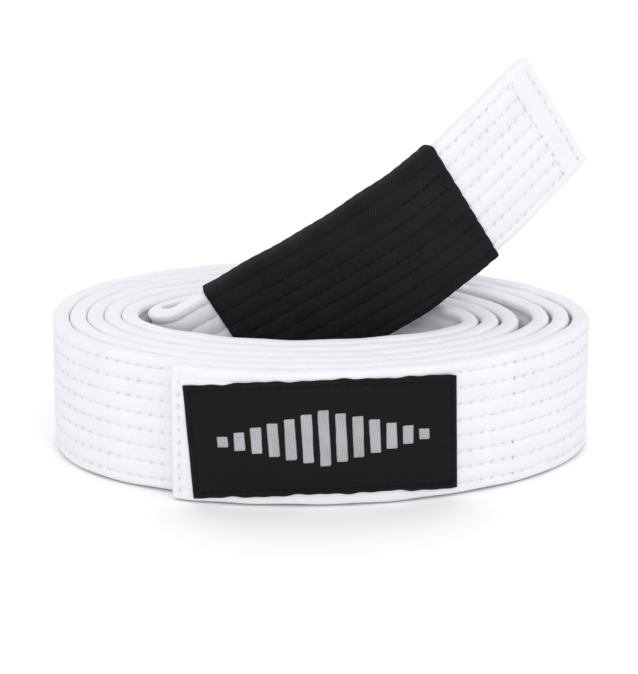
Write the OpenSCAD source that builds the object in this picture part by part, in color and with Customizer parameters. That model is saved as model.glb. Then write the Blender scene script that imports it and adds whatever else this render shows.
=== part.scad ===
// Stitched cotton martial arts belt, coiled flat with its rank-bar tail standing up out of the coil.
// +Z is up and the coil lies along X. The origin is the centre of the bounding box on the resting plane.

/* [Belt] */
// Width of the belt, which is the height of the coil
belt_w = 40; // [33:0.5:48]
// Thickness of the padded, stitched belt
belt_t = 4.8; // [4:0.1:6]
// Thickness of the cotton cover
cover_t = 0.9; // [0.6:0.1:1.2]
// Clearance between the padding and the cover
core_clear = 0.1; // [0.05:0.05:0.2]

/* [Coil] */
// Length of the coil over its outer turn
coil_l = 166; // [138:1:200]
// Depth of the coil over its outer turn
coil_d = 114; // [94:1:137]
// Least depth of the opening left in the middle
opening_d = 50; // [42:1:60]
// Free gap between neighbouring turns
turn_gap = 0.5; // [0.4:0.05:0.7]
// How much sharper the right-hand end is than the left
egg = 1.3; // [0:0.1:1.6]
// Extra slack between turns at the right-hand end, for each turn
end_slack = 0.6; // [0:0.1:1.2]
// Width of the wedge-shaped gap where the inner turns are shorter
wedge_gap = 4; // [0:0.5:6]

/* [Label end] */
// Direction that the outer end of the belt faces, around the coil
outer_end_angle = 251; // [240:1:262]
// Length of the label patch
label_l = 75.5; // [62:0.5:91]
// Thickness of the label patch
label_t = 0.9; // [0.5:0.1:1.5]
// Distance from the outer end to the label
label_inset = 5; // [4:0.5:10]
// Belt left bare below the label
label_below = 2.2; // [1.5:0.1:4]
// Belt left bare above the label
label_above = 4.3; // [2:0.1:6]
// Distance from the label to the fold line of the loose end
fold_room = 9; // [6:0.5:14]

/* [Tail] */
// Length of the rank bar
bar_l = 80; // [66:1:96]
// Thickness of the rank bar's cloth
bar_t = 0.8; // [0.5:0.1:1.2]
// Length of the tip beyond the rank bar
tip_l = 45; // [36:1:53]
// How far the middle of the tail has lifted where it leaves the coil
root_lift = 6.1; // [4:0.1:10]
// Lean of the tail's upper edge towards the front
tail_lean = 8.9; // [0:0.1:12]
// Angle that the tail curls back through along its length
tail_curl = 37.7; // [20:0.1:50]

/* [Stitching] */
// Number of stitch rows across the belt
rows = 8; // [6:1:10]
// Distance from the belt's edge to the first row
row_margin = 3; // [2.5:0.1:4]
// Width of a stitched thread
thread_w = 0.7; // [0.4:0.1:1]
// Height of a thread above the cloth
thread_t = 0.2; // [0.1:0.05:0.25]

/* [Hidden] */

cloth = "whitesmoke";
padding_colour = "wheat";
black_cloth = "#202022";
motif_colour = "silver";

half_t = belt_t / 2;
pitch = belt_t + turn_gap;
step = 10;
hinge_gap = 0.3;
round_inset = 0.05;
sleeve_clear = 0.05;
cover_end = 1.2;
seam_inset = 2.6;
row_pitch = (belt_w - 2 * row_margin) / (rows - 1);
row_heights = [for (i = [0:rows - 1]) row_margin + i * row_pitch];

// ---- Coil: a spiral given by its distance from the centre to each tangent line ----

inner_end_angle = 110;
passes = floor((coil_d - opening_d) / 2 / pitch);
inner_angle = inner_end_angle + 360 * passes;
wedge_turn = 2.41;
wedge_span = 0.7;
wedge_angle = 25;
egg_fade = 0.8;

function smooth(t) = let (u = max(0, min(1, t))) u * u * (3 - 2 * u);
function turns_at(q) = (q - outer_end_angle) / 360;
function oval(q) = norm([coil_l / 2 * cos(q), coil_d / 2 * sin(q)])
    + egg * (1 - egg_fade * turns_at(q) / passes) * cos(3 * q);
function slack(q) =
    let (n = turns_at(q), c = cos(q - wedge_angle))
    (end_slack * n + wedge_gap * smooth((n - wedge_turn) / wedge_span)) * (c > 0 ? c * c : 0);
function reach(q) = oval(q) - half_t - pitch * turns_at(q) - slack(q);
function reach_slope(q) = (reach(q + 0.5) - reach(q - 0.5)) * 180 / PI;
function coil_curve(q, off) =
    (reach(q) + off) * [cos(q), sin(q)] + reach_slope(q) * [-sin(q), cos(q)];
// A point off the middle of the belt, outwards, where the belt faces the direction q, on its facets
function coil_at(q, off = 0) =
    let (hi = (floor(q / step) + 1) * step, lo = max(hi - step, outer_end_angle), t = (q - lo) / (hi - lo))
    (1 - t) * coil_curve(lo, off) + t * coil_curve(hi, off);

function stations(a, b) =
    [a, for (q = [ceil(a / step) * step : step : b]) if (q > a + 0.2 && q < b - 0.2) q, b];

// Length along the belt from its outer end, against direction
arc_stations = stations(outer_end_angle, outer_end_angle + 180);
arc_lengths = [for (i = 0, s = 0; i < len(arc_stations);
    s = s + (i + 1 < len(arc_stations) ? norm(coil_at(arc_stations[i + 1]) - coil_at(arc_stations[i])) : 0),
    i = i + 1) [s, arc_stations[i]]];
function angle_at(s) = lookup(s, arc_lengths);

fold_at = label_inset + label_l + fold_room;
fold_angle = angle_at(fold_at);
coil_start_angle = angle_at(fold_at + half_t + hinge_gap);

label_z = label_below;
label_h = belt_w - label_below - label_above;
label_face = half_t + label_t;
motif_bars = 13;
motif_pitch = 0.8 * label_l / motif_bars;
motif_bar_w = 0.68 * motif_pitch;
motif_h = 0.5 * label_h;

outer_rim = [for (q = stations(outer_end_angle, outer_end_angle + 360)) coil_at(q, half_t + thread_t)];
label_rim = [for (q = stations(angle_at(label_inset), angle_at(label_inset + label_l)))
    coil_at(q, label_face + thread_t)];
// ---- Tail: a flat curve extruded along the belt's leaning width ----

bar_offset = 9.4;
tip_fold_offset = 6;
tail_heading = 1.1;
curl_start = 34.6;
curl_span = 80;
tail_step = 4;
first_bend = ceil(curl_start / tail_step) * tail_step;
tail_end = bar_offset + bar_l + tip_l;
tip_fold = bar_offset + bar_l + tip_fold_offset;

root_step = [-1.2, -22];
coil_end = coil_at(inner_angle);
root = [coil_end.x + root_step.x, coil_end.y + root_step.y, belt_w / 2 + root_lift];

// The tail climbs just steeply enough for its lower edge to pass over the inner turns
climb_clear = 3.4;
inner_wall = coil_at(ceil((inner_angle - 360) / 360) * 360, -half_t).x;
climb_run = inner_wall - root.x - climb_clear;
climb_rise = belt_w + climb_clear - root.z;
tail_climb = atan2(climb_rise, climb_run)
    + asin((belt_w / 2 + bar_t) / norm([climb_run, climb_rise]));

function turn_x(v, a) = [v.x, v.y * cos(a) - v.z * sin(a), v.y * sin(a) + v.z * cos(a)];
function turn_y(v, a) = [v.x * cos(a) + v.z * sin(a), v.y, v.z * cos(a) - v.x * sin(a)];
function tail_dir(v) = turn_y(turn_x(v, tail_lean), -tail_climb);

function heading(s) = tail_heading + tail_curl * smooth((s - curl_start) / curl_span);
function tail_point(s) = s == 0 ? [0, 0]
    : let (n = ceil(s / tail_step), d = s / n, hs = [for (i = [0:n - 1]) heading((i + 0.5) * d)])
        d * [sum([for (h = hs) cos(h)]), sum([for (h = hs) sin(h)])];
function sum(v) = v * [for (x = v) 1];
function tail_curve(s, off) = tail_point(s) + off * [sin(heading(s)), -cos(heading(s))];
// A point off the middle of the tail, towards the front, on its facets
function tail_at(s, off = 0) =
    let (straight = s < first_bend, lo = straight ? 0 : floor(s / tail_step) * tail_step,
        hi = straight ? first_bend : lo + tail_step, t = (s - lo) / (hi - lo))
    (1 - t) * tail_curve(lo, off) + t * tail_curve(hi, off);
function tail_stations(a, b) =
    [a, for (s = [first_bend : tail_step : b]) if (s > a + 0.5 && s < b - 0.5) s, b];

// The middle of the bounding box, seen from above
tip_rim = [for (off = [-half_t - thread_t, half_t + thread_t], z = [-belt_w / 2, belt_w / 2],
    p = [tail_at(tail_end, off)]) root + tail_dir([p.x, p.y, z])];
rim = concat(outer_rim, label_rim, tip_rim);
centre = [for (k = [0, 1]) (min([for (p = rim) p[k]]) + max([for (p = rim) p[k]])) / 2];

// ---- Rise: the stretch that twists from the upright coil into the leaning tail ----

rise_steps = 20;
upper_swing = [30, 8];
lower_swing = [12, 12];
tail_start_dir = tail_dir([cos(tail_heading), sin(tail_heading), 0]);
tail_width_dir = tail_dir([0, 0, 1]);
rise_to = root - (half_t + hinge_gap) * tail_start_dir;

function unit(v) = v / norm(v);
// Control points of one edge of the belt: side is 1 for the upper edge and -1 for the lower
function rise_edge(side, swing) =
    let (a = [coil_end.x, coil_end.y, (1 + side) * belt_w / 2],
        b = rise_to + side * belt_w / 2 * tail_width_dir)
    [a, a + swing[0] * [-sin(inner_angle), cos(inner_angle), 0], b - swing[1] * tail_start_dir, b];
upper_edge = rise_edge(1, upper_swing);
lower_edge = rise_edge(-1, lower_swing);

function bezier(c, t) = pow(1 - t, 3) * c[0] + 3 * t * pow(1 - t, 2) * c[1]
    + 3 * t * t * (1 - t) * c[2] + pow(t, 3) * c[3];
function bezier_dir(c, t) = unit(pow(1 - t, 2) * (c[1] - c[0]) + 2 * t * (1 - t) * (c[2] - c[1])
    + t * t * (c[3] - c[2]));
// The belt's four corners part of the way along the rise, each face held inset from the edges
function rise_ring(t, half_thick, inset) =
    let (up = bezier(upper_edge, t), low = bezier(lower_edge, t), w = unit(up - low),
        up_n = unit(cross(bezier_dir(upper_edge, t), w)),
        low_n = unit(cross(bezier_dir(lower_edge, t), w)))
    [low + inset * w + half_thick * low_n, up - inset * w + half_thick * up_n,
        up - inset * w - half_thick * up_n, low + inset * w - half_thick * low_n];

// ---- Building blocks ----

module coil_strip(a, b, low, high, z, h) {
    q = stations(a, b);
    n = len(q);
    translate([0, 0, z])
        linear_extrude(height = h)
            polygon(concat([for (i = [0:n - 1]) coil_at(q[i], high)],
                [for (i = [n - 1:-1:0]) coil_at(q[i], low)]));
}

module tail_strip(a, b, low, high, z, h) {
    s = tail_stations(a, b);
    n = len(s);
    translate([0, 0, z - belt_w / 2])
        linear_extrude(height = h)
            polygon(concat([for (i = [0:n - 1]) tail_at(s[i], high)],
                [for (i = [n - 1:-1:0]) tail_at(s[i], low)]));
}

module rise_strip(t0, t1, half_thick, inset) {
    rings = [for (i = [0:rise_steps]) rise_ring(t0 + (t1 - t0) * i / rise_steps, half_thick, inset)];
    last = 4 * rise_steps;
    polyhedron(points = [for (r = rings) each r],
        faces = concat([[3, 2, 1, 0]], [[last, last + 1, last + 2, last + 3]],
            [for (i = [0:rise_steps - 1], j = [0:3]) let (a = 4 * i + j, b = 4 * i + (j + 1) % 4)
                [a, b, a + 4]],
            [for (i = [0:rise_steps - 1], j = [0:3]) let (a = 4 * i + j, b = 4 * i + (j + 1) % 4)
                [b, b + 4, a + 4]]));
}

module place_coil() {
    translate([-centre.x, -centre.y, 0]) children();
}

module place_tail() {
    place_coil()
        translate(root) rotate([0, -tail_climb, 0]) rotate([tail_lean, 0, 0]) children();
}

// The rounded edge that a length of belt turns about where it meets the next length
module fold_round(at, z) {
    translate([at.x, at.y, z]) cylinder(r = half_t - round_inset, h = belt_w, $fn = 48);
}

// ---- Coil ----

module coil_cover() {
    color(cloth) place_coil() difference() {
        coil_strip(coil_start_angle, inner_angle, -half_t, half_t, 0, belt_w);
        coil_strip(coil_start_angle + cover_end, inner_angle - cover_end,
            cover_t - half_t, half_t - cover_t, cover_t, belt_w - 2 * cover_t);
    }
}

module coil_padding() {
    inset = cover_t + core_clear;
    color(padding_colour) place_coil()
        coil_strip(coil_start_angle + 2 * cover_end, inner_angle - 2 * cover_end,
            inset - half_t, half_t - inset, inset, belt_w - 2 * inset);
}

module coil_stitching() {
    color(cloth) place_coil()
        for (z = row_heights)
            coil_strip(coil_start_angle + cover_end, outer_end_angle + 355,
                half_t, half_t + thread_t, z - thread_w / 2, thread_w);
}

// ---- Rise ----

module rise_cover() {
    color(cloth) place_coil() difference() {
        rise_strip(0, 1, half_t, 0);
        rise_strip(0.04, 0.96, half_t - cover_t, cover_t);
    }
}

module rise_padding() {
    inset = cover_t + core_clear;
    color(padding_colour) place_coil()
        rise_strip(0.06, 0.94, half_t - inset, inset);
}

// ---- Label end ----

module label_end_cover() {
    color(cloth) place_coil() difference() {
        union() {
            coil_strip(outer_end_angle, fold_angle, -half_t, half_t, 0, belt_w);
            fold_round(coil_at(fold_angle), 0);
        }
        coil_strip(outer_end_angle + cover_end, fold_angle,
            cover_t - half_t, half_t - cover_t, cover_t, belt_w - 2 * cover_t);
    }
}

module label_end_padding() {
    inset = cover_t + core_clear;
    color(padding_colour) place_coil()
        coil_strip(outer_end_angle + 2 * cover_end, fold_angle - cover_end,
            inset - half_t, half_t - inset, inset, belt_w - 2 * inset);
}

module label_end_stitching() {
    color(cloth) place_coil() {
        coil_strip(angle_at(seam_inset), angle_at(seam_inset + thread_w),
            half_t, half_t + thread_t, row_margin, belt_w - 2 * row_margin);
        coil_strip(angle_at(label_inset), fold_angle - cover_end, half_t, half_t + thread_t,
            row_heights[rows - 1] - thread_w / 2, thread_w);
        for (z = row_heights)
            coil_strip(angle_at(label_inset + label_l + 1), fold_angle - cover_end,
                half_t, half_t + thread_t, z - thread_w / 2, thread_w);
    }
}

module label_patch() {
    color(black_cloth) place_coil()
        coil_strip(angle_at(label_inset), angle_at(label_inset + label_l),
            half_t + sleeve_clear, label_face, label_z, label_h);
}

// A plain woven mark: a lozenge made of upright bars
module label_motif() {
    half_count = (motif_bars - 1) / 2;
    color(motif_colour) place_coil()
        for (i = [-half_count:half_count]) {
            s = label_inset + label_l / 2 + i * motif_pitch;
            h = motif_h * (1 - abs(i) / (half_count + 1.5));
            coil_strip(angle_at(s - motif_bar_w / 2), angle_at(s + motif_bar_w / 2),
                label_face, label_face + thread_t, label_z + (label_h - h) / 2, h);
        }
}

module label_stitching() {
    inset = 1.4;
    a = angle_at(label_inset + inset);
    b = angle_at(label_inset + label_l - inset);
    color(black_cloth) place_coil() {
        for (z = [label_z + inset, label_z + label_h - inset - thread_w])
            coil_strip(a, b, label_face, label_face + thread_t, z, thread_w);
        for (s = [label_inset + inset, label_inset + label_l - inset - thread_w])
            coil_strip(angle_at(s), angle_at(s + thread_w), label_face, label_face + thread_t,
                label_z + inset + thread_w, label_h - 2 * (inset + thread_w));
    }
}

// ---- Tail ----

module tail_cover() {
    color(cloth) place_tail() difference() {
        union() {
            tail_strip(0, tip_fold - half_t - hinge_gap, -half_t, half_t, 0, belt_w);
            fold_round(tail_at(0), -belt_w / 2);
        }
        tail_strip(0, tip_fold - half_t - hinge_gap - cover_t,
            cover_t - half_t, half_t - cover_t, cover_t, belt_w - 2 * cover_t);
    }
}

module tail_padding() {
    inset = cover_t + core_clear;
    color(padding_colour) place_tail()
        tail_strip(core_clear, tip_fold - half_t - hinge_gap - inset,
            inset - half_t, half_t - inset, inset, belt_w - 2 * inset);
}

module rank_bar() {
    face = half_t + sleeve_clear;
    color(black_cloth) place_tail() difference() {
        tail_strip(bar_offset, bar_offset + bar_l, -face - bar_t, face + bar_t,
            -sleeve_clear - bar_t, belt_w + 2 * (sleeve_clear + bar_t));
        tail_strip(bar_offset - tail_step, bar_offset + bar_l + tail_step, -face, face,
            -sleeve_clear, belt_w + 2 * sleeve_clear);
    }
}

module rank_bar_stitching() {
    face = half_t + sleeve_clear + bar_t;
    color(black_cloth) place_tail() for (side = [-face - thread_t, face]) {
        for (z = row_heights)
            tail_strip(bar_offset + seam_inset + thread_w, bar_offset + bar_l - seam_inset - thread_w,
                side, side + thread_t, z - thread_w / 2, thread_w);
        for (s = [bar_offset + seam_inset, bar_offset + bar_l - seam_inset - thread_w])
            tail_strip(s, s + thread_w, side, side + thread_t, row_margin, belt_w - 2 * row_margin);
    }
}

// ---- Tip ----

module tip_cover() {
    color(cloth) place_tail() difference() {
        union() {
            tail_strip(tip_fold, tail_end, -half_t, half_t, 0, belt_w);
            fold_round(tail_at(tip_fold), -belt_w / 2);
        }
        tail_strip(tip_fold, tail_end - cover_t,
            cover_t - half_t, half_t - cover_t, cover_t, belt_w - 2 * cover_t);
    }
}

module tip_padding() {
    inset = cover_t + core_clear;
    color(padding_colour) place_tail()
        tail_strip(tip_fold + core_clear, tail_end - inset,
            inset - half_t, half_t - inset, inset, belt_w - 2 * inset);
}

module tip_stitching() {
    cross_rows = [tail_end - 4 * seam_inset, tail_end - seam_inset - thread_w];
    color(cloth) place_tail() for (side = [-half_t - thread_t, half_t]) {
        for (z = row_heights)
            tail_strip(tip_fold + thread_w, cross_rows[0], side, side + thread_t,
                z - thread_w / 2, thread_w);
        for (s = cross_rows)
            tail_strip(s, s + thread_w, side, side + thread_t, row_margin, belt_w - 2 * row_margin);
    }
}

coil_cover();
coil_padding();
coil_stitching();
rise_cover();
rise_padding();
label_end_cover();
label_end_padding();
label_end_stitching();
label_patch();
label_motif();
label_stitching();
tail_cover();
tail_padding();
rank_bar();
rank_bar_stitching();
tip_cover();
tip_padding();
tip_stitching();
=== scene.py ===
"""Surfaces of a coiled, quilted cotton martial arts belt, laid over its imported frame.

Every length is in millimetres until a mesh is made, which turns it to metres. The coil, the rise and the
tail follow the same curves as the frame does.
"""

import bpy
import numpy as np
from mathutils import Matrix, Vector


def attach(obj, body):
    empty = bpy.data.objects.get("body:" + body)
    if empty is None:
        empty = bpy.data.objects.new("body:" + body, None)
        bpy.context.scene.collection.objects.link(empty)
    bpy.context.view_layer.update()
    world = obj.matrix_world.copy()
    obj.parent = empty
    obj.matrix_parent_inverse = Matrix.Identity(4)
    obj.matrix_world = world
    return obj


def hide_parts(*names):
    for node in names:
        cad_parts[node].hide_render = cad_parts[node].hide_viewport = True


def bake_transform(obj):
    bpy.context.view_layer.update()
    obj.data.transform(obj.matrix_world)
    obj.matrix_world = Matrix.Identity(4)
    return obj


bl_info = {
    "name": "Coiled martial arts belt",
    "version": (1, 0, 0),
    "blender": (4, 5, 0),
    "location": "3D View > Sidebar > Belt",
    "description": "Quilted cotton belt with a rank bar and a woven label, coiled flat",
    "category": "Add Mesh",
}

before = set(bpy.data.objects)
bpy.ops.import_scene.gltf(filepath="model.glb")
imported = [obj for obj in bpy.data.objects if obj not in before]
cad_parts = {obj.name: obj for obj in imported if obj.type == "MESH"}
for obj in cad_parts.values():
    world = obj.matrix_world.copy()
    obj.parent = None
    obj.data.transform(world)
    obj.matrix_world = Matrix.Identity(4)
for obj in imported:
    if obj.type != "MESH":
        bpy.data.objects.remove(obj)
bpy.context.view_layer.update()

MM = 0.001

# ---- The belt's own sizes, in millimetres, as the frame has them ----

WIDTH = 40.0
HALF_T = 2.4
ROWS = 3.0 + np.arange(8) * (WIDTH - 6.0) / 7
HALF_ROW_GAP = 2.43
EDGE_R, EDGE_POWER = 1.9, 0.6

COIL_L, COIL_D, TURN_GAP, PASSES = 166.0, 114.0, 0.5, 6
EGG, EGG_FADE, END_SLACK = 1.3, 0.8, 0.6
WEDGE_GAP, WEDGE_TURN, WEDGE_SPAN, WEDGE_ANGLE = 4.0, 2.41, 0.7, 25.0
OUTER_ANGLE, INNER_ANGLE = 251.0, 110.0 + 360 * PASSES
CENTRE = np.array([3.59944, -1.80462])

LABEL_AT, LABEL_L, LABEL_LOW, LABEL_H, LABEL_T = 5.0, 75.5, 2.2, 33.5, 0.9
# how far each corner of the label slips, (along, up): first its lower corners, then its upper ones
LABEL_SLIP = np.array([[[1.8, -1.2], [1.5, 0.0]], [[-1.0, -0.8], [0.8, 0.9]]])
LABEL_BOW = 2.1
LABEL_INSET, LABEL_PITCH = 1.7, 2.6
HEM_AT = 2.6
# a seam across the belt needs lengths this close on each side of it; elsewhere STEP is enough
NEAR_SEAM = np.arange(-0.6, 0.61, 0.3)
STEP = 0.9
SEAM_AT = 100.8

BAR_AT, BAR_L, BAR_T = 9.4, 80.0, 0.8
TIP_FOLD, TAIL_END = BAR_AT + BAR_L + 6.0, BAR_AT + BAR_L + 45.0
TIP_SEAMS = (TAIL_END - 10.4, TAIL_END - 3.0)
BAR_HEM = 3.0
# the rise runs on into the sleeve, and the tail's own mesh begins inside it
RISE_END, TAIL_START = 16.1, 10.8
# how far from its fold the cloth starts to bend
HEADING, CURL, CURL_START, CURL_SPAN = 1.1, 37.7, 34.6, 80.0
ROOT = np.array([-33.6049, -0.1123, 26.1])
LEAN, CLIMB = 8.9, 30.1557
UPPER_SWING, LOWER_SWING = (30.0, 8.0), (12.0, 12.0)


def sind(a):
    return np.sin(np.radians(a))


def cosd(a):
    return np.cos(np.radians(a))


def smooth(t):
    """3t^2 - 2t^3, held to 0 before t = 0 and to 1 after t = 1."""
    t = np.clip(t, 0, 1)
    return t * t * (3 - 2 * t)


def unit(v):
    return v / np.linalg.norm(v, axis=-1, keepdims=True)


# ---- Paths: each gives the middle of the belt, its outward normal and its width direction ----


def reach(q):
    """Distance from the coil's centre to the belt's tangent line, where the belt faces the direction q: an
    oval, a little sharper at one end, less one pitch for each turn inwards and the slack at the right."""
    n = (q - OUTER_ANGLE) / 360
    oval = np.hypot(COIL_L / 2 * cosd(q), COIL_D / 2 * sind(q))
    egg = EGG * (1 - EGG_FADE * n / PASSES) * cosd(3 * q)
    slack = END_SLACK * n + WEDGE_GAP * smooth((n - WEDGE_TURN) / WEDGE_SPAN)
    turns_in = (2 * HALF_T + TURN_GAP) * n
    return oval + egg - HALF_T - turns_in - slack * np.maximum(0, cosd(q - WEDGE_ANGLE)) ** 2


def coil_point(q):
    """reach(q) along the direction q, plus reach's slope across it: the curve that those tangents wrap."""
    h, slope = reach(q), (reach(q + 0.5) - reach(q - 0.5)) * 180 / np.pi
    x = h * cosd(q) - slope * sind(q) - CENTRE[0]
    y = h * sind(q) + slope * cosd(q) - CENTRE[1]
    return np.stack([x, y, np.full_like(q, WIDTH / 2)], -1)


_q = np.arange(OUTER_ANGLE, INNER_ANGLE + 1e-6, 0.25)
_step = np.linalg.norm(np.diff(coil_point(_q), axis=0), axis=1)
_length = np.concatenate([[0], np.cumsum(_step)])
COIL_LENGTH = _length[-1]


def coil_path(s):
    """The coil at the lengths s from its outer end: (points, normals, width directions)."""
    q = np.interp(s, _length, _q)
    normal = np.stack([cosd(q), sind(q), 0 * q], -1)
    return coil_point(q), normal, np.broadcast_to([0.0, 0.0, 1.0], normal.shape)


def tail_turn(v):
    """v leant by LEAN about X, then climbed by CLIMB about Y."""
    v = np.asarray(v, float)
    y = v[..., 1] * cosd(LEAN) - v[..., 2] * sind(LEAN)
    z = v[..., 1] * sind(LEAN) + v[..., 2] * cosd(LEAN)
    x = v[..., 0]
    return np.stack([x * cosd(CLIMB) - z * sind(CLIMB), y, z * cosd(CLIMB) + x * sind(CLIMB)], -1)


def tail_heading(s):
    return HEADING + CURL * smooth((s - CURL_START) / CURL_SPAN)


_s = np.arange(-20, TAIL_END + 1, 0.25)
_mid = tail_heading(_s[:-1] + 0.125)
_x = np.concatenate([[0], np.cumsum(0.25 * cosd(_mid))])
_y = np.concatenate([[0], np.cumsum(0.25 * sind(_mid))])
_x, _y = _x - np.interp(0, _s, _x), _y - np.interp(0, _s, _y)


def tail_path(s):
    """The tail at the lengths s from its root: a flat curve whose heading grows by CURL, turned to its lean
    and climb."""
    h = tail_heading(s)
    point = ROOT + tail_turn(np.stack([np.interp(s, _s, _x), np.interp(s, _s, _y), 0 * s], -1))
    normal = tail_turn(np.stack([sind(h), -cosd(h), 0 * h], -1))
    return point, normal, np.broadcast_to(tail_turn([0, 0, 1.0]), point.shape)


def bezier(c, t):
    t = t[:, None]
    return (1 - t) ** 3 * c[0] + 3 * t * (1 - t) ** 2 * c[1] + 3 * t * t * (1 - t) * c[2] + t**3 * c[3]


def rise_edges():
    """The rise's upper and lower edges: cubic curves from the coil's end, along it, to the tail's root."""
    end, normal, _ = coil_path(np.array([COIL_LENGTH]))
    along = np.array([-normal[0, 1], normal[0, 0], 0.0])
    root, _, wide = tail_path(np.array([0.0]))
    heading = tail_turn([cosd(HEADING), sind(HEADING), 0.0])
    edges = []
    for side, swing in ((1, UPPER_SWING), (-1, LOWER_SWING)):
        a = end[0] + [0, 0, side * WIDTH / 2]
        b = root[0] + side * WIDTH / 2 * wide[0]
        edges.append([a, a + swing[0] * along, b - swing[1] * heading, b])
    return edges


RISE_UP, RISE_LOW = rise_edges()
_t = np.linspace(0, 1, 200)
_rise_mid = (bezier(RISE_UP, _t) + bezier(RISE_LOW, _t)) / 2
_rise_len = np.concatenate([[0], np.cumsum(np.linalg.norm(np.diff(_rise_mid, axis=0), axis=1))])
RISE_LENGTH = _rise_len[-1]


def rise_and_tail_path(s):
    """The rise up to s = 0, by the middle of its two edges, and the tail after it."""
    point, normal, wide = (np.array(v) for v in tail_path(s))
    t = np.interp(s + RISE_LENGTH, _rise_len, _t)
    up, low = bezier(RISE_UP, t), bezier(RISE_LOW, t)
    w = up - low
    e = 1e-3
    mid = lambda u: (bezier(RISE_UP, u) + bezier(RISE_LOW, u)) / 2
    along = mid(np.minimum(t + e, 1)) - mid(np.maximum(t - e, 0))
    rising = s < 0
    point[rising] = ((up + low) / 2)[rising]
    wide[rising] = (w / WIDTH)[rising]
    normal[rising] = unit(np.cross(along, w))[rising]
    return point, normal, wide


# ---- Surfaces ----


def lanes(fine):
    """Places across one face of the belt, from edge to edge, closer together near the rows of stitching."""
    even = np.linspace(0, 1, fine, endpoint=False)
    between = even - 0.7 * np.sin(2 * np.pi * even) / (2 * np.pi)
    knots = np.concatenate([[EDGE_R], ROWS, [WIDTH - EDGE_R]])
    spaced = [a + (b - a) * between for a, b in zip(knots[:-1], knots[1:])]
    return np.concatenate(spaced + [[knots[-1]]])


def channels(v):
    """0 at a row of stitching and 1 between rows: each sewn channel is a puffed arch."""
    near = np.abs(v[..., None] - ROWS).min(-1)
    return sind(90 * np.clip(near / HALF_ROW_GAP, 0, 1)) ** 0.6


def make_mesh(name, points, across, along, material, hole_shade=None, sleeve=False):
    """A grid of points[i, j] in millimetres, i along the belt and j around its section, as a closed mesh:
    with flat ends, or for a sleeve, whose rows run out over one skin and back over the other, joined to
    itself. Its UV map cloth_mm holds the distance along and around in millimetres, and a point attribute
    holds how strongly painted shade darkens each point where a stitch pierces the cloth."""
    n, m = points.shape[:2]
    i, j = np.meshgrid(np.arange(n if sleeve else n - 1), np.arange(m), indexing="ij")
    k, after_i = (j + 1) % m, (i + 1) % n
    quads = np.stack([i * m + j, after_i * m + j, after_i * m + k, i * m + k], -1).reshape(-1, 4)
    u = np.stack([along[i], along[after_i], along[after_i], along[i]], -1).reshape(-1)
    v = np.stack([across[j], across[j], across[j + 1], across[j + 1]], -1).reshape(-1)
    vertices, faces = points.reshape(-1, 3), quads.tolist()
    if not sleeve:
        ring = np.arange(m)
        after = (ring + 1) % m
        vertices = np.concatenate([vertices, points[[0, -1]].mean(1)])
        faces += np.stack([np.full(m, n * m), ring, after], -1).tolist()
        faces += np.stack([np.full(m, n * m + 1), (n - 1) * m + after, (n - 1) * m + ring], -1).tolist()
    mesh = bpy.data.meshes.new(name)
    mesh.from_pydata((vertices * MM).tolist(), [], faces)
    uv = mesh.uv_layers.new(name="cloth_mm")
    values = np.zeros((len(mesh.loops), 2), np.float32)
    values[: len(quads) * 4] = np.stack([u, v], -1)
    uv.data.foreach_set("uv", values.ravel())
    # painted shade: this attribute darkens the cloth where each stitch pierces it
    depth = mesh.attributes.new("needle_hole_shade", "FLOAT", "POINT")
    level = np.zeros(len(vertices), np.float32)
    if hole_shade is not None:
        level[: n * m] = hole_shade.ravel()
    depth.data.foreach_set("value", level)
    mesh.polygons.foreach_set("use_smooth", np.ones(len(mesh.polygons), bool))
    mesh.update()
    if not sleeve:
        pairs = np.zeros(len(mesh.edges) * 2, np.int32)
        mesh.edges.foreach_get("vertices", pairs)
        pairs = pairs.reshape(-1, 2)
        rim = (pairs < m).all(1) | ((pairs >= (n - 1) * m) & (pairs < n * m)).all(1)
        sharp = mesh.attributes.new("sharp_edge", "BOOLEAN", "EDGE")
        sharp.data.foreach_set("value", rim)
    mesh.materials.append(material)
    thing = bpy.data.objects.new(name, mesh)
    bpy.context.scene.collection.objects.link(thing)
    return thing


def belt_section(fine_out=6, fine_in=3, edge_steps=8):
    """The belt's section as a loop: (place across 0 to 40, side). side is 1 on the outer face and -1 on the
    inner one. Each edge is half a squarish oval: its sine and cosine are raised to EDGE_POWER."""
    out, back = lanes(fine_out), lanes(fine_in)[::-1]
    a = np.linspace(0, 180, edge_steps + 2)[1:-1]
    bulge = sind(a) ** EDGE_POWER
    across = np.sign(cosd(a)) * np.abs(cosd(a)) ** EDGE_POWER
    top_v, top_c = WIDTH - EDGE_R + EDGE_R * bulge, across
    low_v, low_c = EDGE_R - EDGE_R * bulge, -across
    v = np.concatenate([out, top_v, back, low_v])
    side = np.concatenate([np.ones_like(out), top_c, -np.ones_like(back), low_c])
    return v, side


def stitch_dips(s, pitch):
    """1 where a stitch goes down into the cloth and 0 midway between: the eighth power of a cosine."""
    return np.cos(np.pi * s / pitch) ** 8


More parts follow.
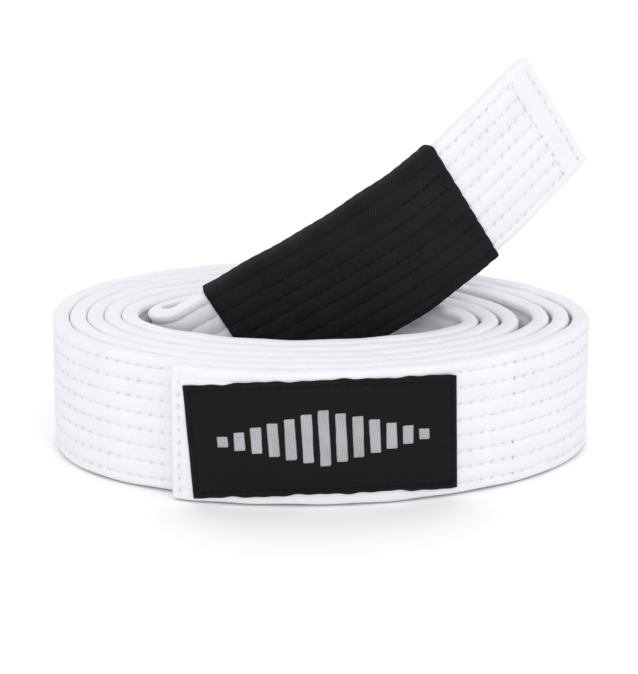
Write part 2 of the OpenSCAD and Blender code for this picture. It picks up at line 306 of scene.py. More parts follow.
def belt_points(path, s, section, sizes, rows_on=None, swell=0.0, taper=None):
    """The belt's skin: at each length s the section's points stand off the middle by half the thickness,
    less a groove along each row and a dip where each stitch goes in, plus a slow wander of the edge."""
    v, side = section
    centre, normal, wide = path(s)
    pitch = sizes.stitch_pitch / MM
    on = np.ones_like(s) if rows_on is None else rows_on(s)
    crown = channels(v)
    groove = sizes.channel_depth / MM * (1 - crown)
    dip = sizes.stitch_dip / MM * np.exp(-((np.abs(v[:, None] - ROWS).min(-1) / 0.45) ** 2))
    wander = 0.10 * np.sin(s / 7.3)[:, None] * np.sin(v / 5.1 + 1.3)
    wander += 0.07 * np.sin(s / 2.9 + 0.6)[:, None] * np.cos(v / 2.3)
    sewn = on[:, None] * (groove + dip * stitch_dips(s, pitch)[:, None])
    half = HALF_T + sizes.loft / MM + swell - sewn + wander
    edge = 0.12 * np.sin(s / 3.1) + 0.10 * np.sin(s / 8.7 + 1)
    place = (v - WIDTH / 2) * (1 + edge[:, None] / 20 * (np.abs(v - WIDTH / 2) / 20) ** 4)
    if taper is not None:
        half = half * taper(s)[:, None]
    return centre[:, None] + normal[:, None] * (half * side)[..., None] + wide[:, None] * place[..., None]


def needle_hole_shade(s, section, sizes, rows_on=None):
    """Painted shade where each stitch pierces the cloth: 1 at its middle and 0 away from it, on every row,
    at the lengths s.
    """
    v = section[0]
    on = np.ones_like(s) if rows_on is None else rows_on(s)
    near = np.exp(-((np.abs(v[:, None] - ROWS).min(-1) / 0.3) ** 2))
    row = np.abs(v[:, None] - ROWS).argmin(-1)
    # the painted shade's strength wanders along each row on its own: some piercings look open, others closed
    quick, slow = np.sin(s[:, None] / 3.1 + 2.4 * row[None]), np.sin(s[:, None] / 7.9 + 1.7 * row[None])
    hole_shade_strength = 0.55 + 0.45 * quick * slow
    return on[:, None] * near[None] * hole_shade_strength * stitch_dips(s, sizes.stitch_pitch / MM)[:, None]


def cross_seam_hole_shade(s, section, places, sizes):
    """Painted shade where each stitch of the seams across the belt pierces the cloth: 1 at its middle, at
    the lengths places.
    """
    v = section[0]
    near = sum(np.exp(-(((s - place) / 0.34) ** 2)) for place in places)
    between = (v > ROWS[0] - 0.6) & (v < ROWS[-1] + 0.6)
    return near[:, None] * (between * stitch_dips(v - ROWS[0], sizes.stitch_pitch / MM))[None]


def label_slip(s, v):
    """The label lies a little askew: how far it slips along and up at (s, v), blended from its corners'
    slips, with its middle bowed upwards along a parabola."""
    u, w = ((s - LABEL_AT) / LABEL_L)[..., None], ((v - LABEL_LOW) / LABEL_H)[..., None]
    slip = (1 - w) * ((1 - u) * LABEL_SLIP[0, 0] + u * LABEL_SLIP[0, 1])
    slip = slip + w * ((1 - u) * LABEL_SLIP[1, 0] + u * LABEL_SLIP[1, 1])
    return slip[..., 0], slip[..., 1] + (4 * LABEL_BOW * u * (1 - u))[..., 0]


def around(section):
    """The distance round the section to each of its points, with the whole way round at the end."""
    v, side = section
    loop = np.stack([v, side * HALF_T], -1)
    gaps = np.linalg.norm(np.diff(np.concatenate([loop, loop[:1]]), axis=0), axis=1)
    return np.concatenate([[0], np.cumsum(gaps)])


def stitches(name, place, size, material):
    """Thread lying on the cloth: one flattened capsule for each row of place, which holds its middle, its
    direction, the direction across and the direction out. size is its (length, width, height)."""
    middle, along, _, out = place
    across = np.cross(out, along)
    t = np.linspace(0, np.pi, 6)[1:-1]
    a = np.linspace(0, 2 * np.pi, 8, endpoint=False)
    x = -np.cos(t) * size[0] / 2
    r = np.sin(t) ** 0.5
    beside, above = np.outer(r, np.cos(a)).ravel() * size[1] / 2, np.outer(r, np.sin(a)).ravel() * size[2]
    ring = np.stack([np.repeat(x, 8), beside, above], -1)
    ring = np.concatenate([ring, [[-size[0] / 2, 0, 0], [size[0] / 2, 0, 0]]])
    points = middle[:, None] + ring[None, :, 0:1] * along[:, None]
    points = points + ring[None, :, 1:2] * across[:, None] + ring[None, :, 2:3] * out[:, None]
    k = np.arange(8)
    nxt = (k + 1) % 8
    bands = [np.stack([b * 8 + k, b * 8 + nxt, (b + 1) * 8 + nxt, (b + 1) * 8 + k], -1) for b in range(3)]
    faces = np.concatenate(bands)
    low = np.stack([np.full(8, 32), nxt, k], -1)
    high = np.stack([np.full(8, 33), 24 + k, 24 + nxt], -1)
    count = len(middle)
    base = np.arange(count)[:, None, None] * 34
    all_faces = (faces[None] + base).reshape(-1, 4).tolist() + (low[None] + base).reshape(-1, 3).tolist()
    all_faces += (high[None] + base).reshape(-1, 3).tolist()
    mesh = bpy.data.meshes.new(name)
    mesh.from_pydata((points.reshape(-1, 3) * MM).tolist(), [], all_faces)
    mesh.polygons.foreach_set("use_smooth", np.ones(len(mesh.polygons), bool))
    mesh.update()
    mesh.materials.append(material)
    thing = bpy.data.objects.new(name, mesh)
    bpy.context.scene.collection.objects.link(thing)
    return thing


# ---- Materials ----


def linear(colour):
    """An sRGB hex colour as the linear red, green, blue and alpha that the shaders take."""
    c = np.array([int(colour[i : i + 2], 16) for i in (1, 3, 5)]) / 255
    c = np.where(c <= 0.04045, c / 12.92, ((c + 0.055) / 1.055) ** 2.4)
    return (*c.tolist(), 1.0)


def add_node(tree, kind, links=None, inputs=None, **settings):
    """Adds a node to tree, with its settings, its input values and its links. links gives for each socket
    the node that it comes from and that node's output."""
    node = tree.nodes.new(kind)
    for key, value in settings.items():
        setattr(node, key, value)
    for key, value in (inputs or {}).items():
        node.inputs[key].default_value = value
    for key, (source, output) in (links or {}).items():
        tree.links.new(source.outputs[output], node.inputs[key])
    return node


def shades(tree, level, dark, light):
    """A ramp along level between two sRGB hex colours: dark and light are each (place, colour)."""
    ramp = add_node(tree, "ShaderNodeValToRGB", {"Fac": level})
    for element, (place, colour) in zip(ramp.color_ramp.elements, (dark, light)):
        element.position, element.color = place, linear(colour)
    return ramp


def twill(tree, spacing, angle):
    """Diagonal ribs of a twill weave, one every spacing millimetres, broken up by the yarn's unevenness."""
    where = add_node(tree, "ShaderNodeUVMap", uv_map="cloth_mm")
    uneven = {"Scale": 1.1, "Detail": 3.0, "Roughness": 0.6}
    yarn = add_node(tree, "ShaderNodeTexNoise", {"Vector": (where, "UV")}, uneven)
    turn = {"Rotation": (0, 0, np.radians(angle))}
    turned = add_node(tree, "ShaderNodeMapping", {"Vector": (where, "UV")}, turn)
    # a band wave repeats every 0.314 of its input at a scale of 1
    bands = {"Scale": 0.314 / spacing, "Distortion": 1.2, "Detail": 2.0, "Detail Scale": 2.5}
    bands["Detail Roughness"] = 0.6
    ribs = add_node(tree, "ShaderNodeTexWave", {"Vector": (turned, "Vector")}, bands)
    return where, yarn, ribs


def cloth(name, colour, shade, hole_shade_colour, ribs_at, roughness, gloss, sheen, sheen_tint):
    """Woven cloth: twill ribs in the bump; painted shade in the grooves between the ribs, with a faint
    random change of tone along the yarns and in patches; painted shade where each stitch pierces the cloth;
    and sheen for its nap.
    ribs_at is their spacing and height in millimetres and their angle in degrees."""
    spacing, rib_height, angle = ribs_at
    material = bpy.data.materials.new(name)
    material.use_nodes = True
    tree = material.node_tree
    shader = tree.nodes["Principled BSDF"]
    where, yarn, ribs = twill(tree, spacing, angle)
    patches = add_node(tree, "ShaderNodeTexNoise", {"Vector": (where, "UV")}, {"Scale": 0.09, "Detail": 2.0})
    blend = add_node(tree, "ShaderNodeMath", {0: (ribs, "Fac"), 1: (yarn, "Fac")}, operation="MULTIPLY")
    mixed = add_node(tree, "ShaderNodeMath", {0: (blend, 0), 1: (patches, "Fac")}, {2: 0.0}, operation="ADD")
    # painted shade: colour goes to the shade colour where the ribs sink, with random tone from the noise
    ramp = shades(tree, (mixed, 0), (0.25, shade), (0.95, colour))
    raised = {"Strength": 0.6, "Distance": rib_height * MM}
    bump = add_node(tree, "ShaderNodeBump", {"Height": (blend, 0)}, raised)
    # painted shade where each stitch pierces the cloth, in the colour given for it
    hole_shade = add_node(tree, "ShaderNodeAttribute", attribute_name="needle_hole_shade")
    over = {"Fac": (hole_shade, "Fac"), "Color1": (ramp, "Color")}
    hole_shaded = add_node(tree, "ShaderNodeMixRGB", over, {"Color2": linear(hole_shade_colour)})
    tree.links.new(hole_shaded.outputs["Color"], shader.inputs["Base Color"])
    tree.links.new(bump.outputs["Normal"], shader.inputs["Normal"])
    shader.inputs["Roughness"].default_value = roughness
    shader.inputs["IOR"].default_value = 1.46
    shader.inputs["Specular IOR Level"].default_value = gloss
    shader.inputs["Sheen Weight"].default_value = sheen
    shader.inputs["Sheen Roughness"].default_value = 0.45
    shader.inputs["Sheen Tint"].default_value = linear(sheen_tint)
    return material


def thread_finish(name, colour, shade, sheen, gloss=0.3):
    """Spun sewing thread: slanting ply lines over a matt yarn, on Object coordinates."""
    material = bpy.data.materials.new(name)
    material.use_nodes = True
    tree = material.node_tree
    shader = tree.nodes["Principled BSDF"]
    where = add_node(tree, "ShaderNodeTexCoord")
    fine = {"Scale": 2600.0, "Detail": 2.0}
    ply = add_node(tree, "ShaderNodeTexNoise", {"Vector": (where, "Object")}, fine)
    ramp = shades(tree, (ply, "Fac"), (0.35, shade), (0.65, colour))
    raised = {"Strength": 0.5, "Distance": 0.1 * MM}
    bump = add_node(tree, "ShaderNodeBump", {"Height": (ply, "Fac")}, raised)
    tree.links.new(ramp.outputs["Color"], shader.inputs["Base Color"])
    tree.links.new(bump.outputs["Normal"], shader.inputs["Normal"])
    shader.inputs["Roughness"].default_value = 0.7
    shader.inputs["Specular IOR Level"].default_value = gloss
    shader.inputs["Sheen Weight"].default_value = sheen
    return material


def finish_of(name):
    """A material by its name, made the first time that it is asked for."""
    found = bpy.data.materials.get(name)
    if found:
        return found
    c = bpy.context.scene.belt_colours
    if name == "bleached_cotton_twill":
        # bleached cotton drill: matt, with fine slanting ribs and cool painted shade between them,
        # and grey painted shade where stitches pierce it
        return cloth(name, c.cotton, c.cotton_shade, "#C2C2CA", (0.75, 0.14, 38), 0.92, 0.1, 0.02, "#FFFFFF")
    if name == "black_cotton_twill":
        # dyed cotton drill: slanting ribs that catch a dull grey light, with painted shade between them
        # and near-black painted shade where stitches pierce it
        return cloth(name, c.bar, c.bar_shade, "#060607", (0.75, 0.3, 38), 0.85, 0.2, 0.05, "#8A8A96")
    if name == "black_woven_label":
        # damask label: close, almost flat yarns with a slight satin gloss; wide ribs, so that they show
        return cloth(name, c.label, c.label_shade, "#060607", (0.6, 0.06, 90), 0.62, 0.17, 0.01, "#707078")
    if name == "grey_woven_thread":
        # the label's figure: grey weft floats, ribbed upright
        return cloth(name, c.motif, c.motif_shade, "#606064", (0.6, 0.10, 8), 0.6, 0.25, 0.05, "#FFFFFF")
    if name == "white_sewing_thread":
        # spun polyester thread: small, rounded, a little whiter than the cloth
        return thread_finish(name, c.cotton, c.cotton_shade, 0.1)
    if name == "black_sewing_thread":
        # black spun thread: slightly glossier than the twill it crosses
        return thread_finish(name, c.bar_shade, "#08080A", 0.0, gloss=0.12)
    raise ValueError(name)


# ---- Settings ----


def millimetres(label, words, value):
    shown = {"unit": "LENGTH", "subtype": "DISTANCE", "precision": 5}
    return bpy.props.FloatProperty(name=label, description=words, default=value * MM, min=0, **shown)


class BeltSizes(bpy.types.PropertyGroup):
    stitch_pitch: millimetres("Stitch pitch", "Distance from one stitch to the next along a row", 3.6)
    channel_depth: millimetres("Channel depth", "How far a row of stitching pulls the cloth in", 0.55)
    stitch_dip: millimetres("Stitch dip", "How much further each stitch's ends pull the cloth in", 0.18)
    loft: millimetres("Loft", "How far the padding swells the belt past its half thickness", 0.2)
    thread_width: millimetres("Thread width", "Width of a sewn thread", 0.5)
    thread_height: millimetres("Thread height", "How far a sewn thread stands off the cloth", 0.16)


def hex_colour(label, words, value):
    return bpy.props.StringProperty(name=label, description=words, default=value)


class BeltColours(bpy.types.PropertyGroup):
    # each shade colour is painted shade in the grooves between ribs or yarns, mixed with random tone
    cotton: hex_colour("Cotton", "Bleached cotton, sRGB", "#EAECEF")
    cotton_shade: hex_colour("Cotton shade", "Cotton between the ribs, sRGB", "#E3E4E9")
    bar: hex_colour("Rank bar", "Black twill, sRGB", "#1D1C20")
    bar_shade: hex_colour("Rank bar shade", "Black twill between the ribs, sRGB", "#0F0E12")
    label: hex_colour("Label", "Black label ground, sRGB", "#0D0D0E")
    label_shade: hex_colour("Label shade", "Label ground between the yarns, sRGB", "#0A0A0B")
    motif: hex_colour("Motif", "Grey woven figure, sRGB", "#B4B4B7")
    motif_shade: hex_colour("Motif shade", "Grey figure between the yarns, sRGB", "#88888C")
    floor: hex_colour("Floor", "Studio floor, sRGB", "#FFFFFF")


# ---- Pieces ----


def settle(thing, slot_name, *nodes):
    if nodes:
        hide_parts(*nodes)
    return thing


def thread_size(sizes):
    """A stitch's (length, width, height): it shows for about three quarters of the pitch."""
    return 0.74 * sizes.stitch_pitch / MM, sizes.thread_width / MM, sizes.thread_height / MM


def crosswise(place):
    """The same threads laid across the belt: their directions along and across change places."""
    middle, along, across, out = place
    return middle, across, along, out


def joined(parts):
    """Several places for threads as one."""
    return [np.concatenate(same) for same in zip(*parts)]


def rows_of_thread(path, starts, rows, side, sizes, out=HALF_T):
    """Where each thread lies: every start along every row, on the face that side gives."""
    s, v = (a.ravel() for a in np.meshgrid(starts, rows, indexing="ij"))
    centre, normal, wide = path(s)
    ahead, _, _ = path(s + 0.5)
    along = unit(ahead - centre)
    lift = out - sizes.channel_depth / MM + sizes.loft / MM
    middle = centre + normal * (side * lift) + wide * (v - WIDTH / 2)[:, None]
    return middle, along, np.array(wide), normal * side


class BELT_OT_coil(bpy.types.Operator):
    """Makes the coil of quilted belt and the stitching on its outer turn"""

    bl_idname = "belt.coil"
    bl_label = "Coil"

    def execute(self, context):
        sizes = context.scene.belt_sizes
        turn = float(np.interp(OUTER_ANGLE + 372, _q, _length))
        shown, inner = np.arange(SEAM_AT, turn, STEP), np.arange(turn, COIL_LENGTH - 1, 4.1)
        s = np.concatenate([shown, inner, [COIL_LENGTH]])
        section = belt_section()
        points = belt_points(coil_path, s, section, sizes)
        hole_shade = needle_hole_shade(s, section, sizes)
        coil = make_mesh("belt_coil", points, around(section), s, finish_of("bleached_cotton_twill"), hole_shade)
        settle(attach(coil, "coil"), "white_cotton", "coil_cover", "coil_padding")
        pitch = sizes.stitch_pitch / MM
        starts = np.arange(np.ceil(SEAM_AT / pitch), turn // pitch) * pitch + pitch / 2
        place = rows_of_thread(coil_path, starts, ROWS, 1, sizes)
        threads = stitches("coil_threads", place, thread_size(sizes), finish_of("white_sewing_thread"))
        settle(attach(threads, "coil"), "white_thread", "coil_stitching")
        return {"FINISHED"}


class BELT_OT_rise(bpy.types.Operator):
    """Makes the twisting stretch that leaves the coil and becomes the tail"""

    bl_idname = "belt.rise"
    bl_label = "Rise"

    def execute(self, context):
        sizes = context.scene.belt_sizes
        s = np.arange(-RISE_LENGTH, RISE_END, STEP)
        section = belt_section(fine_in=6)
        points = belt_points(rise_and_tail_path, s, section, sizes)
        hole_shade = needle_hole_shade(s, section, sizes)
        rise = make_mesh("belt_rise", points, around(section), s, finish_of("bleached_cotton_twill"), hole_shade)
        settle(rise, "white_cotton", "rise_cover", "rise_padding")
        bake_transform(rise)
        return {"FINISHED"}


class BELT_OT_label_end(bpy.types.Operator):
    """Makes the loose outer end of the belt, which follows the coil's path up to where the coil's mesh
    begins
    """

    bl_idname = "belt.label_end"
    bl_label = "Label end"

    def execute(self, context):
        sizes = context.scene.belt_sizes
        nose, even = [0.0, 0.15, 0.5, 1.0, 1.6], np.arange(3.6, SEAM_AT + 0.01, STEP)
        s = np.concatenate([nose, HEM_AT + NEAR_SEAM, even])
        section = belt_section()
        round_off = lambda s: np.interp(s, [0, 0.15, 0.5, 1.0, 1.8], [0.45, 0.62, 0.82, 0.94, 1.0])
        quilted = lambda s: smooth((s - LABEL_AT - LABEL_L - 0.5) / 2)
        shallow = lambda s: 0.35 + 0.65 * quilted(s)
        points = belt_points(coil_path, s, section, sizes, rows_on=shallow, taper=round_off)
        crease = 0.32 * np.exp(-(((s - HEM_AT) / 0.5) ** 2))[:, None] * section[1]
        points -= coil_path(s)[1][:, None] * crease[..., None]
        hole_shade = needle_hole_shade(s, section, sizes, quilted) + cross_seam_hole_shade(s, section, [HEM_AT], sizes)
        white = finish_of("bleached_cotton_twill")
        end = make_mesh("belt_label_end", points, around(section), s, white, hole_shade)
        settle(end, "white_cotton", "label_end_cover", "label_end_padding")
        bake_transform(end)
        pitch = sizes.stitch_pitch / MM
        starts = np.arange(np.ceil((LABEL_AT + LABEL_L + 0.5) / pitch), SEAM_AT // pitch) * pitch + pitch / 2
        rows = rows_of_thread(coil_path, starts, ROWS, 1, sizes)
        column = np.arange(ROWS[0] + pitch / 2, ROWS[-1], pitch)
        hem = crosswise(rows_of_thread(coil_path, np.array([HEM_AT]), column, 1, sizes))
        above_label = np.arange(4.4, LABEL_AT + LABEL_L, pitch)
        top_row = rows_of_thread(coil_path, above_label, ROWS[-1:], 1, sizes)
        place = joined([rows, hem, top_row])
        threads = stitches("label_end_threads", place, thread_size(sizes), finish_of("white_sewing_thread"))
        settle(threads, "white_thread", "label_end_stitching")
        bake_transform(threads)
        return {"FINISHED"}


class BELT_OT_label(bpy.types.Operator):
    """Makes the woven label, its figure of upright bars and the seam round its border"""

    bl_idname = "belt.label"
    bl_label = "Label"

    def execute(self, context):
        sizes = context.scene.belt_sizes
        n, m = 150, 64
        s = LABEL_AT + LABEL_L * np.linspace(0, 1, n)
        half = LABEL_H / 2
        face_v = np.linspace(-1, 1, m)
        loop_v = np.concatenate([face_v, face_v[::-1]])
        top = np.concatenate([np.ones(m), np.zeros(m)])
        wave = 0.22 * np.sin(s / 1.15) * np.cos(s / 5.3) + 0.16 * np.sin(s / 3.7 + 1)
        from_end = np.minimum(s - LABEL_AT, LABEL_AT + LABEL_L - s)
        inset = np.minimum(half * (1 - np.abs(loop_v))[None], from_end[:, None])
        # the label's edge is thin, and its seam presses a groove into it
        groove = 0.22 * np.exp(-(((inset - LABEL_INSET) / 0.5) ** 2))
        lie = LABEL_T * (0.45 + 0.55 * smooth(inset / 0.7)) - groove
        ripple = 0.05 * np.sin(s / 2.3)[:, None] * np.sin(loop_v * 7)[None]
        height = HALF_T + sizes.loft / MM + np.where(top > 0, lie + ripple, -0.1)
        place = LABEL_LOW + half + loop_v[None] * (half + wave[:, None] * np.abs(loop_v[None]) ** 8)
        slip, rise = label_slip(np.broadcast_to(s[:, None], place.shape), place)
        spots = coil_path((s[:, None] + slip).ravel())
        centre, normal, wide = (np.array(a).reshape(n, 2 * m, 3) for a in spots)
        points = centre + normal * height[..., None] + wide * (place + rise - WIDTH / 2)[..., None]
        way = np.concatenate([[0], np.cumsum(np.abs(np.diff(loop_v)) * half + 0.001), [0]])
        way[-1] = way[-2]
        label = make_mesh("label_patch_cloth", points, way, s, finish_of("black_woven_label"))
        settle(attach(label, "label_end"), "black_label", "label_patch")
        motif = self.motif(sizes)
        left, right = LABEL_AT + LABEL_INSET, LABEL_AT + LABEL_L - LABEL_INSET
        low, high = LABEL_LOW + LABEL_INSET, LABEL_LOW + LABEL_H - LABEL_INSET
        face = HALF_T + LABEL_T + sizes.channel_depth / MM - 0.16

        def seam(starts, rows):
            middle, along, across, out = rows_of_thread(coil_path, starts, rows, 1, sizes, face)
            s, v = (a.ravel() for a in np.meshgrid(starts, rows, indexing="ij"))
            slip, rise = label_slip(s, v)
            return middle + along * slip[:, None] + across * rise[:, None], along, across, out

        along_s = np.arange(left + LABEL_PITCH / 2, right, LABEL_PITCH)
        across_v = np.arange(low + LABEL_PITCH / 2, high, LABEL_PITCH)
        rows = seam(along_s, np.array([low, high]))
        ends = crosswise(seam(np.array([left, right]), across_v))
        place, size = joined([rows, ends]), (1.9, 0.4, 0.16)
        threads = stitches("label_threads", place, size, finish_of("black_sewing_thread"))
        settle(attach(threads, "label_end"), "black_thread", "label_stitching")
        return {"FINISHED"}

    def motif(self, sizes):
        """Thirteen upright bars whose heights make a lozenge, each a low cushion of floated yarn."""
        bars, half_count = 13, 6
        pitch = 0.8 * LABEL_L / bars
        bar_w = 0.68 * pitch
        i = np.arange(-half_count, half_count + 1)
        tall = 0.5 * LABEL_H * (1 - np.abs(i) / (half_count + 1.5))
        a, b = np.meshgrid(np.linspace(-1, 1, 9), np.linspace(-1, 1, 25), indexing="ij")
        s = (LABEL_AT + LABEL_L / 2 + i * pitch)[:, None, None] + a[None] * bar_w / 2
        v = LABEL_LOW + LABEL_H / 2 + b[None] * tall[:, None, None] / 2
        rim = np.minimum((1 - np.abs(a)) * bar_w / 2, 9.0)[None] + 0 * v
        rim = np.minimum(rim, (1 - np.abs(b))[None] * tall[:, None, None] / 2)
        lift = HALF_T + sizes.loft / MM + LABEL_T - 0.05 + 0.24 * smooth(rim / 0.5)
        slip, rise = label_slip(s.ravel(), v.ravel())
        centre, normal, wide = coil_path(s.ravel() + slip)
        points = centre + normal * lift.reshape(-1, 1) + wide * (v.ravel() + rise - WIDTH / 2)[:, None]
        count, n, m = s.shape
        x, y = np.meshgrid(np.arange(n - 1), np.arange(m - 1), indexing="ij")
        quad = np.stack([x * m + y, (x + 1) * m + y, (x + 1) * m + y + 1, x * m + y + 1], -1).reshape(-1, 4)
        quads = (quad[None] + (np.arange(count) * n * m)[:, None, None]).reshape(-1, 4)
        mesh = bpy.data.meshes.new("label_motif_bars")
        mesh.from_pydata((points * MM).tolist(), [], quads.tolist())
        uv = mesh.uv_layers.new(name="cloth_mm")
        at_corners = np.stack([s.ravel(), v.ravel()], -1)[quads.ravel()]
        uv.data.foreach_set("uv", at_corners.astype(np.float32).ravel())
        mesh.polygons.foreach_set("use_smooth", np.ones(len(mesh.polygons), bool))
        mesh.update()
        mesh.materials.append(finish_of("grey_woven_thread"))
        thing = bpy.data.objects.new("label_motif_bars", mesh)
        bpy.context.scene.collection.objects.link(thing)
        thing.modifiers.new("yarn thickness", "SOLIDIFY").thickness = 0.2 * MM
        thing.modifiers["yarn thickness"].offset = -1
        return settle(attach(thing, "label_end"), "grey_thread", "label_motif")


class BELT_OT_tail(bpy.types.Operator):
    """Makes the tail inside the rank bar and the tip beyond it, with its folded hem and cross rows"""

    bl_idname = "belt.tail"
    bl_label = "Tail and tip"

    def execute(self, context):
        sizes = context.scene.belt_sizes
        near = np.add.outer(TIP_SEAMS, NEAR_SEAM).ravel()
        even = np.arange(TAIL_START, TAIL_END - 2, STEP)
        even = even[np.abs(even[:, None] - np.array(TIP_SEAMS)).min(-1) > 0.8]
        nose = TAIL_END - 1.2 * (1 - sind(np.linspace(0, 90, 6)))
        s = np.sort(np.concatenate([even, near, nose]))
        section = belt_section(fine_in=6)
        round_off = lambda s: np.interp(s, nose, [1, 0.98, 0.92, 0.8, 0.64, 0.4])
        quilted = lambda s: smooth((TIP_SEAMS[0] + 0.4 - s) / 1.2)
        shallow = lambda s: 0.12 + 0.88 * quilted(s)
        points = belt_points(tail_path, s, section, sizes, rows_on=shallow, taper=round_off)
        v, side = section
        _, normal, wide = tail_path(s)
        dents = sum(0.55 * np.exp(-(((s - seam) / 0.6) ** 2)) for seam in TIP_SEAMS)
        inside = smooth(np.minimum(v - 2, WIDTH - 2 - v) / 1.5) * side
        points -= normal[:, None] * (dents[:, None] * inside)[..., None]
        # the corners are rounded: the end draws in near each edge
        corner = 1.5
        back = np.maximum(0, s - (TAIL_END - corner))
        draw = corner - np.sqrt(np.maximum(0, corner**2 - back**2))
        keep = (WIDTH / 2 - draw * 0.8) / (WIDTH / 2)
        place = (v - WIDTH / 2)[None] * (keep - 1)[:, None]
        points += wide[:, None] * place[..., None]
        hole_shade = needle_hole_shade(s, section, sizes, quilted) + cross_seam_hole_shade(s, section, TIP_SEAMS, sizes)
        tail = make_mesh("belt_tail", points, around(section), s, finish_of("bleached_cotton_twill"), hole_shade)
        settle(tail, "white_cotton", "tail_cover", "tail_padding", "tip_cover", "tip_padding")
        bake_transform(tail)
        pitch = sizes.stitch_pitch / MM
        starts = np.arange(np.ceil((BAR_AT + BAR_L) / pitch), TIP_SEAMS[0] // pitch) * pitch + pitch / 2
        column = np.arange(ROWS[0] + pitch / 2, ROWS[-1], pitch)
        parts = []
        for face in (1, -1):
            parts.append(rows_of_thread(tail_path, starts, ROWS, face, sizes))
            parts.append(crosswise(rows_of_thread(tail_path, np.array(TIP_SEAMS), column, face, sizes)))
        thread = finish_of("white_sewing_thread")
        threads = stitches("tip_threads", joined(parts), thread_size(sizes), thread)
        settle(threads, "white_thread", "tip_stitching")
        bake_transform(threads)
        return {"FINISHED"}


class BELT_OT_rank_bar(bpy.types.Operator):
    """Makes the black sleeve sewn round the tail, with its hems and its rows of stitching"""

    bl_idname = "belt.rank_bar"
    bl_label = "Rank bar"

    def execute(self, context):
        sizes = context.scene.belt_sizes
        section = belt_section(fine_out=7, fine_in=7)
        v, side = section
        a, b = BAR_AT, BAR_AT + BAR_L
        even = np.arange(a + STEP, b - 0.8, STEP)
        s = np.concatenate([[a, a + 0.2, a + 0.5], even, [b - 0.5, b - 0.2, b]])
        skin = BAR_T + 0.1
        # the folded hem at each end stands proud of the bar between its cross rows
        from_end = np.minimum(s - a, b - s)
        hem = 0.25 * smooth(from_end / 0.5) * smooth((3.4 - from_end) / 0.8)
        rim = 0.30 * (1 - smooth(from_end / 0.6))
        seam = 0.35 * np.exp(-(((from_end - BAR_HEM) / 0.55) ** 2))
        _, normal, wide = tail_path(s)
        points = belt_points(tail_path, s, section, sizes, swell=skin)
        grow = (hem - rim - seam)[:, None] * side
        points += normal[:, None] * grow[..., None]
        scallop = 0.12 * (stitch_dips(s, sizes.stitch_pitch / MM) - 0.4) + 0.10 * np.sin(s / 5.7)
        over = (v - WIDTH / 2) / (WIDTH / 2) * (skin + 0.35)
        edge = (over * np.abs(v / WIDTH * 2 - 1) ** 3)[None] * (1 - scallop[:, None])
        points += wide[:, None] * edge[..., None]
        lining = belt_points(tail_path, s, section, sizes, swell=0.15)
        both, along = np.concatenate([points, lining[::-1]]), np.concatenate([s, s[::-1]])
        twill_cloth = finish_of("black_cotton_twill")
        bar = make_mesh("rank_bar_sleeve", both, around(section), along, twill_cloth, sleeve=True)
        settle(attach(bar, "tail"), "black_twill", "rank_bar")
        pitch = sizes.stitch_pitch / MM
        starts = np.arange(np.ceil((a + BAR_HEM) / pitch), (b - BAR_HEM) // pitch) * pitch + pitch / 2
        column = np.arange(ROWS[0] + pitch / 2, ROWS[-1], pitch)
        hems_at = np.array([a + BAR_HEM, b - BAR_HEM])
        parts = []
        for face in (1, -1):
            parts.append(rows_of_thread(tail_path, starts, ROWS, face, sizes, HALF_T + skin))
            hems = rows_of_thread(tail_path, hems_at, column, face, sizes, HALF_T + skin)
            parts.append(crosswise(hems))
        thread = finish_of("black_sewing_thread")
        threads = stitches("rank_bar_threads", joined(parts), thread_size(sizes), thread)
        settle(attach(threads, "tail"), "black_thread", "rank_bar_stitching")
        return {"FINISHED"}


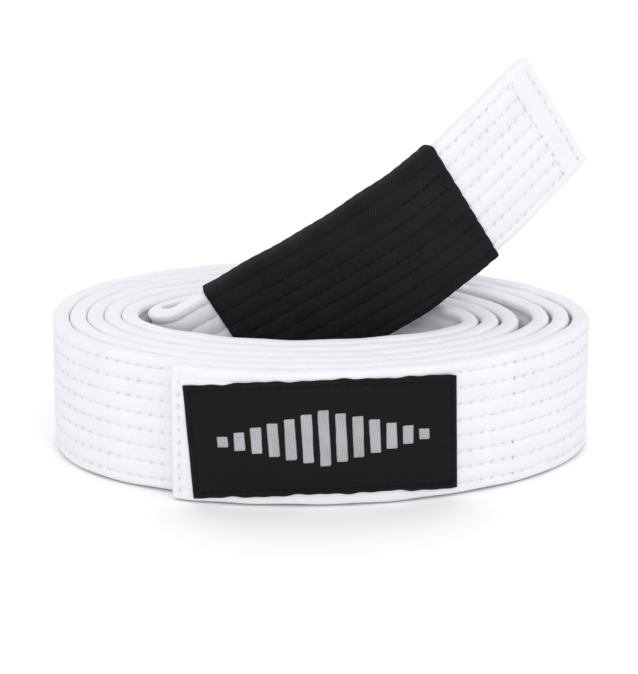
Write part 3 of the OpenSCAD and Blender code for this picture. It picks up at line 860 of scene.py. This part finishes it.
class BELT_OT_stage(bpy.types.Operator):
    """Makes the pale floor, the soft light and the camera"""

    bl_idname = "belt.stage"
    bl_label = "Stage"

    def execute(self, context):
        scene = context.scene
        colours = scene.belt_colours
        mesh = bpy.data.meshes.new("studio_floor")
        side = 6.0
        corners = [(-side, -side, 0), (side, -side, 0), (side, side, 0), (-side, side, 0)]
        mesh.from_pydata(corners, [], [(0, 1, 2, 3)])
        # painted board: matt and even, with a trace of mottling so that it is never one flat colour
        material = bpy.data.materials.new("matt_painted_board")
        material.use_nodes = True
        tree = material.node_tree
        where = add_node(tree, "ShaderNodeTexCoord")
        broad = {"Scale": 9.0, "Detail": 3.0}
        noise = add_node(tree, "ShaderNodeTexNoise", {"Vector": (where, "Object")}, broad)
        ramp = shades(tree, (noise, "Fac"), (0.0, "#FCFCFC"), (1.0, colours.floor))
        shader = tree.nodes["Principled BSDF"]
        tree.links.new(ramp.outputs["Color"], shader.inputs["Base Color"])
        shader.inputs["Roughness"].default_value = 0.8
        mesh.materials.append(material)
        floor = bpy.data.objects.new("studio_floor", mesh)
        floor.location.z = -0.0006
        scene.collection.objects.link(floor)

        world = bpy.data.worlds.new("studio_air")
        world.use_nodes = True
        world.node_tree.nodes["Background"].inputs["Color"].default_value = linear("#FEFEFF")
        world.node_tree.nodes["Background"].inputs["Strength"].default_value = 1.02
        scene.world = world

        def area(name, place, aim, size, power):
            light = bpy.data.lights.new(name, "AREA")
            light.shape, light.size, light.energy = "SQUARE", size, power
            lamp = bpy.data.objects.new(name, light)
            lamp.location = place
            direction = np.array(aim) - np.array(place)
            lamp.rotation_euler = Vector(direction).to_track_quat("-Z", "Y").to_euler()
            scene.collection.objects.link(lamp)

        area("front_softbox", (-0.05, -1.0, 0.55), (0, 0, 0.03), 0.25, 1.1)
        area("high_softbox", (0.2, -0.6, 0.85), (0, 0, 0.03), 0.25, 0.7)

        lens = bpy.data.cameras.new("camera")
        lens.sensor_fit, lens.sensor_width, lens.lens = "HORIZONTAL", 36.0, 169.8
        lens.clip_start, lens.clip_end = 0.01, 50.0
        camera = bpy.data.objects.new("camera", lens)
        # 0.9 m off, 18 degrees above level
        aim, far, rise = np.array([-0.0016, 0.0, 0.0328]), 0.9, 18.0
        camera.location = aim + far * np.array([0.0, -cosd(rise), sind(rise)])
        camera.rotation_euler = (np.radians(90 - rise), 0.0, 0.0)
        scene.collection.objects.link(camera)
        scene.camera = camera
        scene.view_settings.view_transform = "Standard"
        return {"FINISHED"}


OPERATORS = (
    BELT_OT_coil,
    BELT_OT_rise,
    BELT_OT_label_end,
    BELT_OT_label,
    BELT_OT_tail,
    BELT_OT_rank_bar,
    BELT_OT_stage,
)


class BELT_PT_panel(bpy.types.Panel):
    """Lists the belt's pieces and their sizes and colours"""

    bl_idname = "BELT_PT_panel"
    bl_label = "Belt"
    bl_space_type = "VIEW_3D"
    bl_region_type = "UI"
    bl_category = "Belt"

    def draw(self, context):
        for group in (context.scene.belt_sizes, context.scene.belt_colours):
            box = self.layout.box()
            for name in group.__annotations__:
                box.prop(group, name)
        for operator in OPERATORS:
            self.layout.operator(operator.bl_idname)


CLASSES = (BeltSizes, BeltColours, *OPERATORS, BELT_PT_panel)


def register():
    for item in CLASSES:
        bpy.utils.register_class(item)
    bpy.types.Scene.belt_sizes = bpy.props.PointerProperty(type=BeltSizes)
    bpy.types.Scene.belt_colours = bpy.props.PointerProperty(type=BeltColours)


def unregister():
    del bpy.types.Scene.belt_colours, bpy.types.Scene.belt_sizes
    for item in reversed(CLASSES):
        bpy.utils.unregister_class(item)


def main():
    register()
    for operator in OPERATORS:
        group, name = operator.bl_idname.split(".")
        getattr(getattr(bpy.ops, group), name)()


if __name__ == "__main__":
    main()
